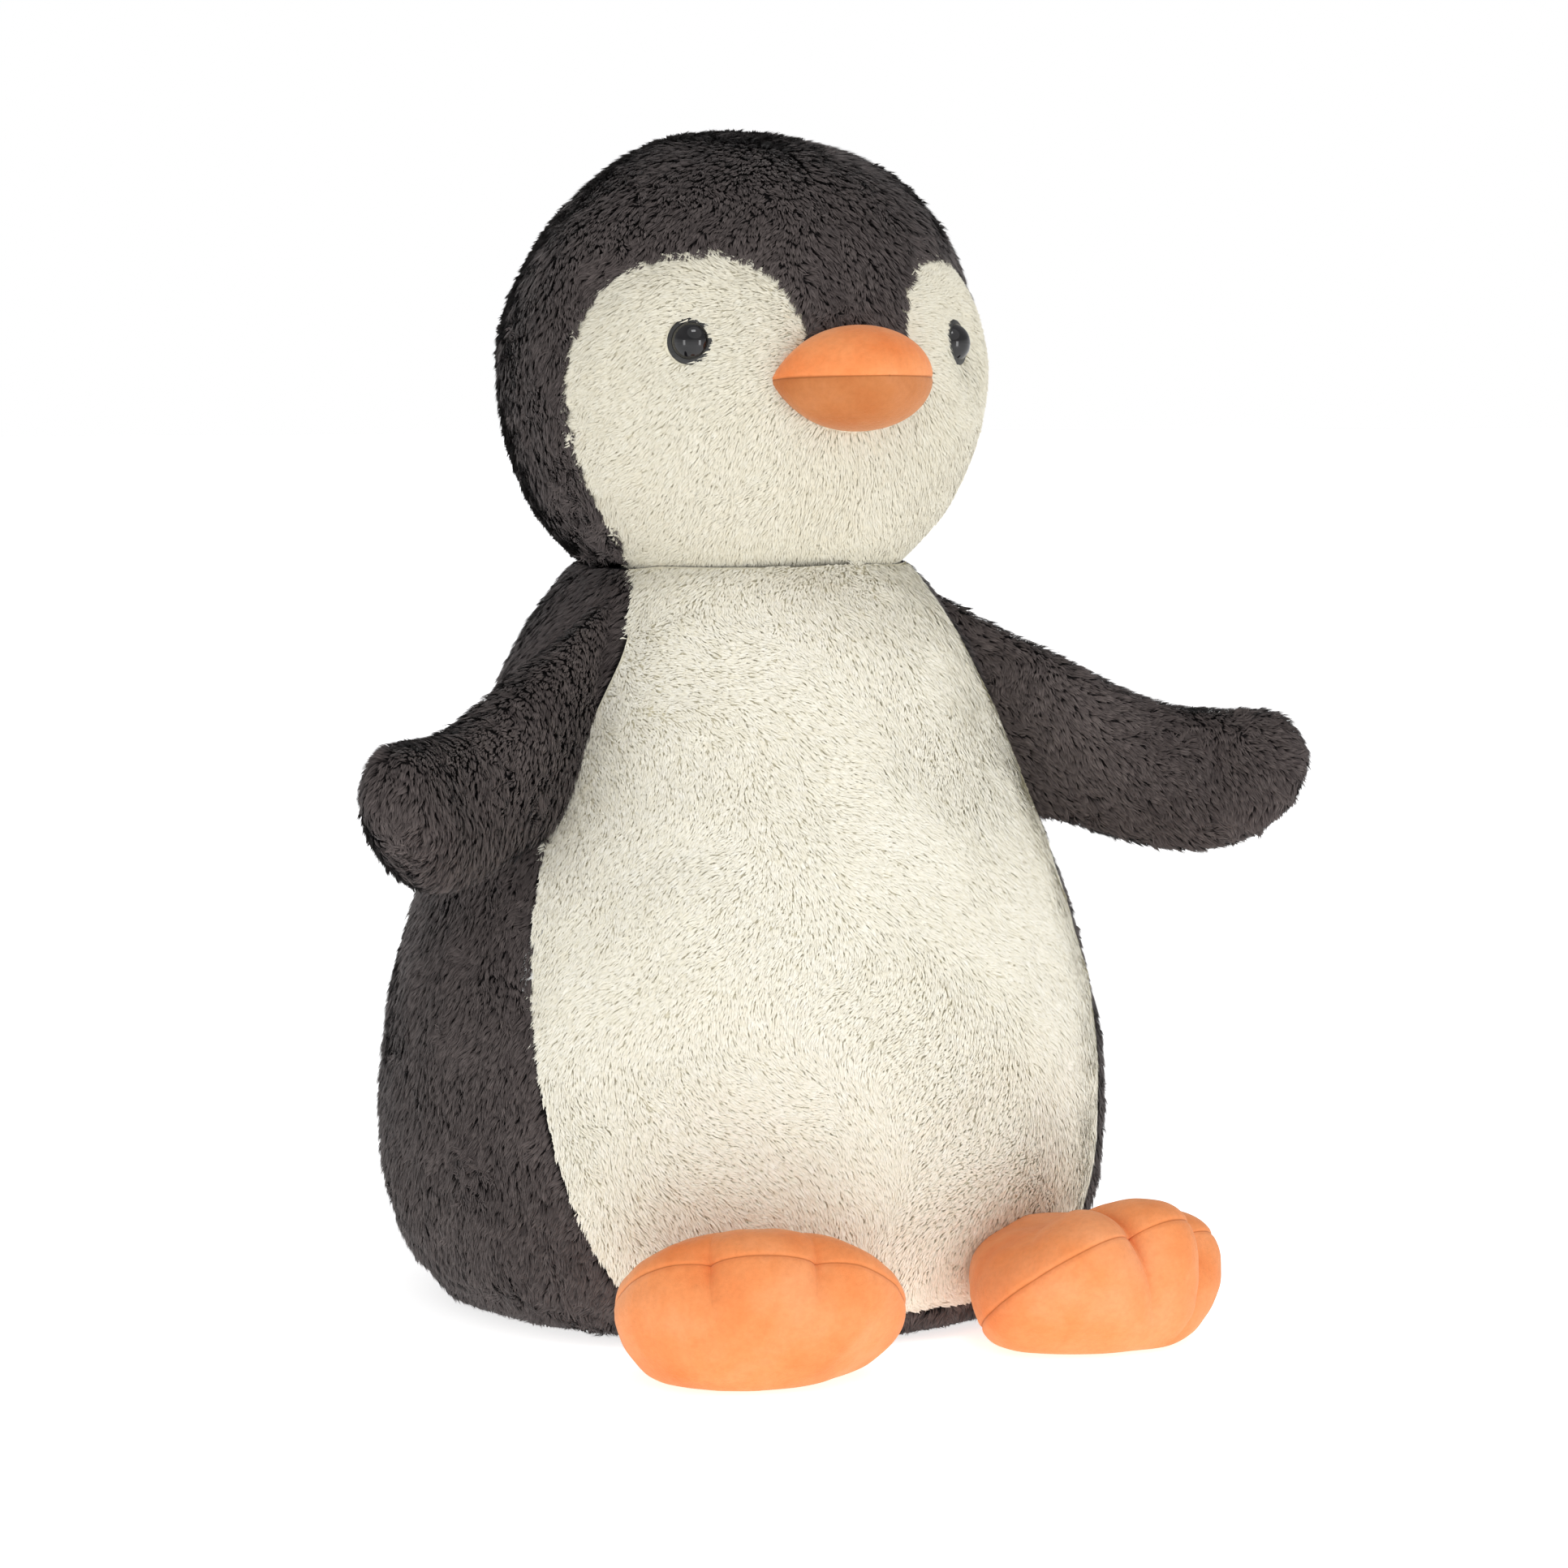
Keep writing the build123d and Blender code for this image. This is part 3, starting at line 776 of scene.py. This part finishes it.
# ---- flippers ----
flipper_turn = math.radians(FLIPPER_FORWARD)
flipper_out = np.array([math.cos(flipper_turn), -math.sin(flipper_turn), 0])
flipper_side = np.cross(flipper_out, UP)
flipper_root = (FLIPPER_ROOT_TOP + FLIPPER_ROOT_BOTTOM) / 2 + flipper_out * FLIPPER_STAND_OFF
flipper_line = FLIPPER_ROOT_TOP - FLIPPER_ROOT_BOTTOM
flipper_root_normal = unit(np.cross(flipper_line, flipper_side))
flipper_root_normal = flipper_root_normal * np.sign(flipper_root_normal @ flipper_out)


def flipper_edge(stations, out, which):
    """An edge's height, or the half thickness, this far out along the flipper."""
    return np.interp(out, stations[:, 0], stations[:, which])


def flipper_ends(stations, centre_out, slant):
    """Where lines that slant like the root meet the flipper's upper and lower edges."""
    ends = []
    for which in (1, 2):
        height = flipper_edge(stations, centre_out, which)
        for _ in range(12):
            met = flipper_edge(stations, centre_out + slant * (height - flipper_root[2]), which)
            height = 0.5 * height + 0.5 * met
        ends.append((centre_out + slant * (height - flipper_root[2]), height))
    return ends


def flipper_skins():
    """The left flipper's front and back cloth."""
    stations = smooth_line(FLIPPER_STATIONS, 200)
    rows, columns = 64, 96
    slant = (flipper_line @ flipper_out) / flipper_line[2]
    share = np.linspace(0, 1, rows)
    travel = np.sin(share * math.pi / 2) ** 0.8
    centre_out = -FLIPPER_REACH_IN + travel * (FLIPPER_STATIONS[-1][0] + FLIPPER_REACH_IN)
    slant = slant * (1 - travel) ** 0.7
    (top_out, top), (low_out, low) = flipper_ends(stations, centre_out, slant)
    thick = flipper_edge(stations, (top_out + low_out) / 2, 3)
    close = np.sqrt(1 - np.clip((centre_out - FLIPPER_TIP_START) / FLIPPER_TIP_LENGTH, 0, 1) ** 2) + 0.002
    middle_height, half_height = (top + low) / 2, (top - low) / 2 * close
    middle_out, half_out = (top_out + low_out) / 2, (top_out - low_out) / 2
    thick = thick * close
    turn = np.linspace(0, 2 * math.pi, columns, endpoint=False)
    cosine, sine = np.cos(turn), np.sin(turn)
    height = middle_height[:, None] + half_height[:, None] * cosine
    out = middle_out[:, None] + half_out[:, None] * cosine
    curl = FLIPPER_CURL * np.clip((out - 40) / 88, 0, 1) ** 2
    side = thick[:, None] * np.sign(sine) * np.abs(sine) ** 0.9 + curl
    base = flipper_root - np.array([0, 0, flipper_root[2]])
    points = base + out[..., None] * flipper_out + side[..., None] * flipper_side + height[..., None] * UP
    points = points.reshape(-1, 3)
    triangles = grid_triangles(rows, columns, True)
    normals = normals_of(points, triangles)
    outwards = points - np.repeat(points.reshape(rows, columns, 3).mean(1), columns, axis=0)
    if (normals * outwards).sum() < 0:
        triangles = triangles[:, ::-1]
        normals = -normals
    seam = np.abs(np.broadcast_to(sine, (rows, columns)).ravel() * np.repeat(thick, columns))
    in_front = np.tile(sine, rows)
    dimple = np.exp(-(((out - 84) / 13) ** 2 + ((height - 232) / 11) ** 2)).ravel() * (in_front > 0)
    dip = seam_dip(seam, 1.0, 4.0) + 3.2 * dimple - 0.8 * waves(points, 60.0, 41)
    points = points - normals * dip[:, None]
    skin = skin_of(points, triangles)
    return clip(skin, -in_front + 1e-6), clip(skin, in_front + 1e-6)


def flipper_nap(side):
    """A nap that runs out along the flipper and down."""
    flow = flipper_out * np.array([side, 1, 1]) * 0.8 - UP * 0.9

    def nap(points, normals):
        return np.broadcast_to(flow, points.shape) + 0 * points

    return nap


front_skin, back_skin = flipper_skins()
root_point = flipper_root * MM
root_step = flipper_root_normal * MM
for side_name, side in (("left", 1), ("right", -1)):
    sign = np.array([side, 1, 1])
    ends = [tuple(sign * (root_point + root_step * reach)) for reach in (-13, 6)]
    blended = ("body", f"flipper_{side_name}", *ends)
    for panel, skin, seed in (("front", front_skin, 201), ("back", back_skin, 211)):
        skin = skin if side > 0 else mirrored(skin)
        stands_for = [f"flipper_{side_name}_{panel}_panel"]
        if panel == "front":
            stands_for.append(f"flipper_{side_name}_stuffing")
        name = f"flipper_{side_name}_{panel}"
        place(cloth_piece(f"{name}_cloth", skin, dark_cloth), "dark_pile", blended=blended, fill=0.7,
              stands_for=stands_for)
        for piece in grow_pile(f"{name}_pile", skin, DARK_PILE, flipper_nap(side), seed + side):
            place(piece, "dark_pile", blended=blended)


# ---- feet and beak: smooth brushed cloth with fine seams ----
def suede_piece(name, points, triangles, seam, look=orange_suede):
    """A panel of brushed cloth. seam is 1 on the stitched line and 0 away from it."""
    piece = mesh_object(name, points, triangles)
    layer = piece.data.attributes.new("seam", "FLOAT", "POINT")
    layer.data.foreach_set("value", seam.astype(np.float32))
    piece.data.materials.append(look)
    return piece


def foot_panel(top, crease_depth, crease_reach, heel, droop, seed):
    """One panel of the left foot: half of a stuffed pillow whose edge has three toes. heel is how
    much fuller its top is there, and droop how far its outer toe hangs."""
    rows, columns = 64, 480
    around = np.arange(columns) * 2 * math.pi / columns
    rise = np.linspace(0, 1, rows)[:, None] ** 1.2 * math.pi / 2 * 0.9995
    across, ahead = np.sin(around), np.cos(around)
    reach = (np.abs(across / FOOT_HALF_WIDTH) ** FOOT_SQUARENESS
             + np.abs(ahead / FOOT_HALF_LENGTH) ** FOOT_SQUARENESS) ** (-1 / FOOT_SQUARENESS)
    # the sole narrows towards the floor and is fuller on its outer side
    flat = reach * np.cos(rise) ** (1.0 if top else 1.2)
    if top:
        depth = FOOT_TOP_HEIGHT * (1 + heel * np.maximum(0.2 - ahead, 0) * np.cos(rise))
    else:
        depth = -FOOT_SOLE_DEPTH * (1 - 0.16 * across * np.cos(rise))
    local = np.stack([flat * across, flat * ahead, depth * np.sin(rise)], axis=2).reshape(-1, 3)
    outwards = np.stack([across * np.cos(rise) / reach, ahead * np.cos(rise) / reach, np.sin(rise) / depth],
                        axis=2).reshape(-1, 3)
    outwards = unit(outwards)
    # each toe is round between its creases, which fade away from the seam
    turn = np.minimum(around, 2 * math.pi - around)
    from_side_toe = np.maximum(SIDE_TOE_TURN - turn, 0) / SIDE_TOE_HALF_TURN
    from_toe = np.where(turn < CREASE_TURN, turn / CREASE_TURN, from_side_toe)
    crease = ((1 - np.maximum(1 - from_toe**2, 0.0) ** 0.8) * np.exp(-(rise / crease_reach) ** 2)).ravel()
    from_seam = np.abs(local[:, 2])
    groove = 0.7 * np.exp(-((from_seam / 1.1) ** 2))
    lumps = 0.8 * waves(local, 46.0, seed) + 0.22 * waves(local, 15.0, seed + 1)
    local += outwards * (lumps - crease_depth * crease - groove)[:, None]
    seam = np.exp(-((from_seam / 0.3) ** 2))
    points = foot_middle + local @ foot_frame
    # across runs from the outer side to the inner one
    outer = np.clip(0.35 - 0.65 * local[:, 0] / FOOT_HALF_WIDTH, 0, 1) ** 1.5
    points[:, 2] -= droop * outer * np.clip(0.5 + local[:, 1] / FOOT_HALF_LENGTH, 0, 1)
    # the sole flattens softly where it rests
    low = points[:, 2] - 0.2
    points[:, 2] = 0.2 + (low + np.sqrt(low**2 + 9.0)) / 2
    triangles = grid_triangles(rows, columns, True)
    if (normals_of(points, triangles) * (outwards @ foot_frame)).sum() < 0:
        triangles = triangles[:, ::-1]
    return points, triangles, seam


foot_turn = math.radians(FOOT_TURN)
foot_ahead = np.array([math.sin(foot_turn), -math.cos(foot_turn), 0])
foot_across = np.cross(foot_ahead, UP)
foot_toes = foot_ahead * math.cos(math.radians(FOOT_LEAN)) + UP * math.sin(math.radians(FOOT_LEAN))
foot_frame = np.stack([foot_across, foot_toes, np.cross(foot_across, foot_toes)])
foot_middle = foot_ahead * FOOT_OUT + UP * FOOT_UP
for side_name, side, seed in (("left", 1, 301), ("right", -1, 311)):
    crease_depth, over_top, over_sole, heel, droop = FOOT_FORMS[side_name]
    for panel, crease_reach in (("top", over_top), ("sole", over_sole)):
        points, triangles, seam = foot_panel(panel == "top", crease_depth, crease_reach, heel, droop, seed)
        name = f"foot_{side_name}_{panel}"
        piece = suede_piece(name, points * (side, 1, 1), triangles[:, ::side], seam)
        stands_for = [f"{name}_panel"] + ([f"foot_{side_name}_stuffing"] if panel == "top" else [])
        place(piece, "orange_suede", f"foot_{side_name}", fill=0.85, stands_for=stands_for)


def beak_panel(upper):
    """One panel of the beak: pointed ovals that close to a blunt tip."""
    rows, columns = 44, 80
    share = np.linspace(0, 1, rows)
    out_share = np.clip((share - BEAK_ROOT_SHARE) / (1 - BEAK_ROOT_SHARE), 0, 1)
    ahead = np.where(share < BEAK_ROOT_SHARE, -BEAK_ROOT + BEAK_ROOT * share / BEAK_ROOT_SHARE,
                     BEAK_REACH * np.sin(out_share * math.pi / 2))
    part = np.clip(ahead / BEAK_REACH, 0, 1)
    half_width = BEAK_HALF_WIDTH * (1 - part**2.4) ** 0.7
    half_height = BEAK_HALF_HEIGHT * (1 - part**3) ** 0.6 * (1.01 - 0.09 * np.clip(1 - part / 0.4, 0, 1) ** 2)
    power = 1 + 0.6 * np.clip(1 - part / 0.35, 0, 1) ** 1.5
    turn = np.linspace(0, math.pi, columns)
    across = -half_width[:, None] * np.cos(turn)
    rise = half_height[:, None] * np.maximum(np.sin(turn), 1e-9) ** power[:, None]
    groove = 0.5 * np.exp(-(rise**2))
    across = across * (1 - groove / np.maximum(half_width[:, None], 2.0))
    seam = np.exp(-((rise / 0.28) ** 2)).ravel()
    depth = math.sqrt(HEAD_RADIUS**2 - BEAK_HALF_WIDTH**2)
    height = HEAD_HEIGHT - BEAK_DROP + (rise if upper else -rise) + BEAK_SEAM_RISE * np.sqrt(part)[:, None]
    points = np.stack([across, -(depth + ahead)[:, None] + 0 * across, height], axis=2).reshape(-1, 3)
    triangles = grid_triangles(rows, columns, False)
    outwards = points - np.array([0, -depth, HEAD_HEIGHT - BEAK_DROP])
    if (normals_of(points, triangles) * outwards).sum() < 0:
        triangles = triangles[:, ::-1]
    return points, triangles, seam


for panel, upper in (("upper", True), ("lower", False)):
    # the lower panel is painted darker: partly because its nap runs the other way, and partly as painted
    # shade, since it faces down
    piece = suede_piece(f"beak_{panel}", *beak_panel(upper), orange_suede if upper else turned_and_shaded_suede)
    stands_for = [f"beak_{panel}_panel"] + (["beak_stuffing"] if upper else [])
    place(piece, "orange_suede", "head", fill=0.9, stands_for=stands_for)


# ---- eyes ----
def eye_piece(side_name, side):
    """A domed eye with a thin rim, on a shank that goes through the cloth."""
    dome_radius = EYE_RADIUS - EYE_RIM_WIDTH
    ball = (dome_radius**2 + EYE_DOME_HEIGHT**2) / (2 * EYE_DOME_HEIGHT)
    swing = np.linspace(0, math.asin(dome_radius / ball), 28)
    dome = np.stack([ball * np.sin(swing), EYE_DOME_HEIGHT - ball + ball * np.cos(swing)], axis=1)
    dome[0, 0] = 0.02
    rim = [(7.75, -0.3), (8.1, -0.3), (9.3, -0.55), (9.7, -0.8), (9.8, -1.2), (9.6, -1.6)]
    shank = [(2.8, -1.9), (2.4, -3.0), (2.4, -15.0), (1.2, -15.6)]
    profile = np.concatenate([dome, rim, shank])
    columns = 72
    angles = np.arange(columns) * 2 * math.pi / columns
    outwards = eye_direction(side)
    one = unit(np.cross(UP, outwards))
    two = np.cross(outwards, one)
    ring = np.cos(angles)[:, None] * one + np.sin(angles)[:, None] * two
    centre = np.array([0, 0, HEAD_HEIGHT]) + outwards * (HEAD_RADIUS + EYE_STAND_OFF - EYE_SOCKET_DEPTH)
    points = centre + profile[:, 0, None, None] * ring + profile[:, 1, None, None] * outwards
    triangles = grid_triangles(len(profile), columns, True)
    piece = mesh_object(f"eye_{side_name}_dome", points.reshape(-1, 3), triangles)
    piece.data.materials.append(eye_black)
    piece.data.materials.append(eye_rim)
    on_rim = triangles.min(axis=1) >= (len(dome) - 1) * columns
    piece.data.polygons.foreach_set("material_index", on_rim.astype(np.int32))
    place(piece, "eye_black", "head", stands_for=[f"eye_{side_name}"])


eye_piece("left", 1)
eye_piece("right", -1)

# ---- parts inside keep their CAD shapes ----
inside = {
    fibre_fill: ("body_stuffing", "neck_stuffing"),
    pellet_cloth: ("bean_pouch",),
    washer_plastic: ("eye_washer_left", "eye_washer_right"),
}
for look, names in inside.items():
    for name in names:
        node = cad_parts[name]
        node.data.materials.clear()
        node.data.materials.append(look)

# ---- camera, floor and light ----
VIEW_AZIMUTH = -26.5        # degrees round from the front
VIEW_DISTANCE = 1.9         # in metres, as for all of the camera and the lights
VIEW_HEIGHT = 0.394
AIM_HEIGHT = 0.2205
VIEW_OFFSET = 0.018         # to the right
SENSOR_WIDTH = 36.0
LENS_WIDTHS = 2.795         # focal length as a multiple of the sensor's width
FLOOR_REACH = 30000         # in millimetres
LIGHT_AIM = Vector((0, 0, 0.28))
SUN_BEARING = 22            # degrees round from the camera
SUN_SLANT = 0.75            # how far to the side it comes from, for each metre up

scene = bpy.context.scene
turn = math.radians(VIEW_AZIMUTH)
view_back = Vector((math.sin(turn), -math.cos(turn), 0))
view_right = Vector((math.cos(turn), math.sin(turn), 0))
camera = bpy.data.objects.new("camera", bpy.data.cameras.new("camera"))
camera.data.sensor_width = SENSOR_WIDTH
camera.data.lens = SENSOR_WIDTH * LENS_WIDTHS
camera.location = view_back * VIEW_DISTANCE + view_right * VIEW_OFFSET + Vector((0, 0, VIEW_HEIGHT))
aim = view_right * VIEW_OFFSET + Vector((0, 0, AIM_HEIGHT))
camera.rotation_euler = (aim - camera.location).to_track_quat("-Z", "Y").to_euler()
scene.collection.objects.link(camera)
scene.camera = camera

floor_points = np.array([[-1, -1, 0], [1, -1, 0], [1, 1, 0], [-1, 1, 0]], float) * FLOOR_REACH
floor = mesh_object("floor", floor_points, np.array([[0, 1, 2], [0, 2, 3]]))
floor_nodes = Nodes("floor")
floor_tones = [(0.3, (0.95, 0.95, 0.945)), (0.7, (0.97, 0.97, 0.965))]
floor_tone = floor_nodes.ramp(floor_nodes.noise(3.0), floor_tones)
floor.data.materials.append(floor_nodes.finish(floor_tone, 0.9, Emission_Color=(1, 1, 1, 1),
                                               Emission_Strength=0.72))


def soft_light(name, bearing, height, distance, width, tall, power):
    """A softbox that faces the toy, placed by its bearing from the camera in degrees."""
    data = bpy.data.lights.new(name, "AREA")
    data.shape = "RECTANGLE"
    data.size, data.size_y = width, tall
    data.energy = power
    light = bpy.data.objects.new(name, data)
    angle = math.radians(VIEW_AZIMUTH + bearing)
    light.location = (distance * math.sin(angle), -distance * math.cos(angle), height)
    light.rotation_euler = (LIGHT_AIM - light.location).to_track_quat("-Z", "Y").to_euler()
    scene.collection.objects.link(light)


soft_light("overhead", bearing=14, height=2.0, distance=0.9, width=0.6, tall=0.4, power=5.0)
soft_light("left_box", bearing=-40, height=0.3, distance=1.7, width=0.36, tall=0.75, power=3.3)
soft_light("right_box", bearing=42, height=0.3, distance=1.7, width=0.36, tall=0.75, power=4.2)
sun = bpy.data.objects.new("soft_sun", bpy.data.lights.new("soft_sun", "SUN"))
sun.data.energy = 0.52
sun.data.angle = math.radians(70)
sun_angle = math.radians(VIEW_AZIMUTH + SUN_BEARING)
sun_side = Vector((math.sin(sun_angle), -math.cos(sun_angle), 0))
sun.rotation_euler = (sun_side * SUN_SLANT + Vector((0, 0, 1))).to_track_quat("Z", "Y").to_euler()
scene.collection.objects.link(sun)

# a white horizon under a greyer sky
world = bpy.data.worlds.new("studio")
scene.world = world
world.use_nodes = True
tree = world.node_tree
direction = tree.nodes.new("ShaderNodeTexCoord")
split = tree.nodes.new("ShaderNodeSeparateXYZ")
ramp = tree.nodes.new("ShaderNodeValToRGB")
tree.links.new(direction.outputs["Generated"], split.inputs[0])
tree.links.new(split.outputs["Z"], ramp.inputs["Fac"])
ramp.color_ramp.elements[0].position = 0.10
ramp.color_ramp.elements[0].color = (1, 1, 1, 1)
ramp.color_ramp.elements[1].position = 0.28
ramp.color_ramp.elements[1].color = (0.42, 0.42, 0.425, 1)
tree.links.new(ramp.outputs["Color"], tree.nodes["Background"].inputs["Color"])
scene.view_settings.view_transform = "Standard"
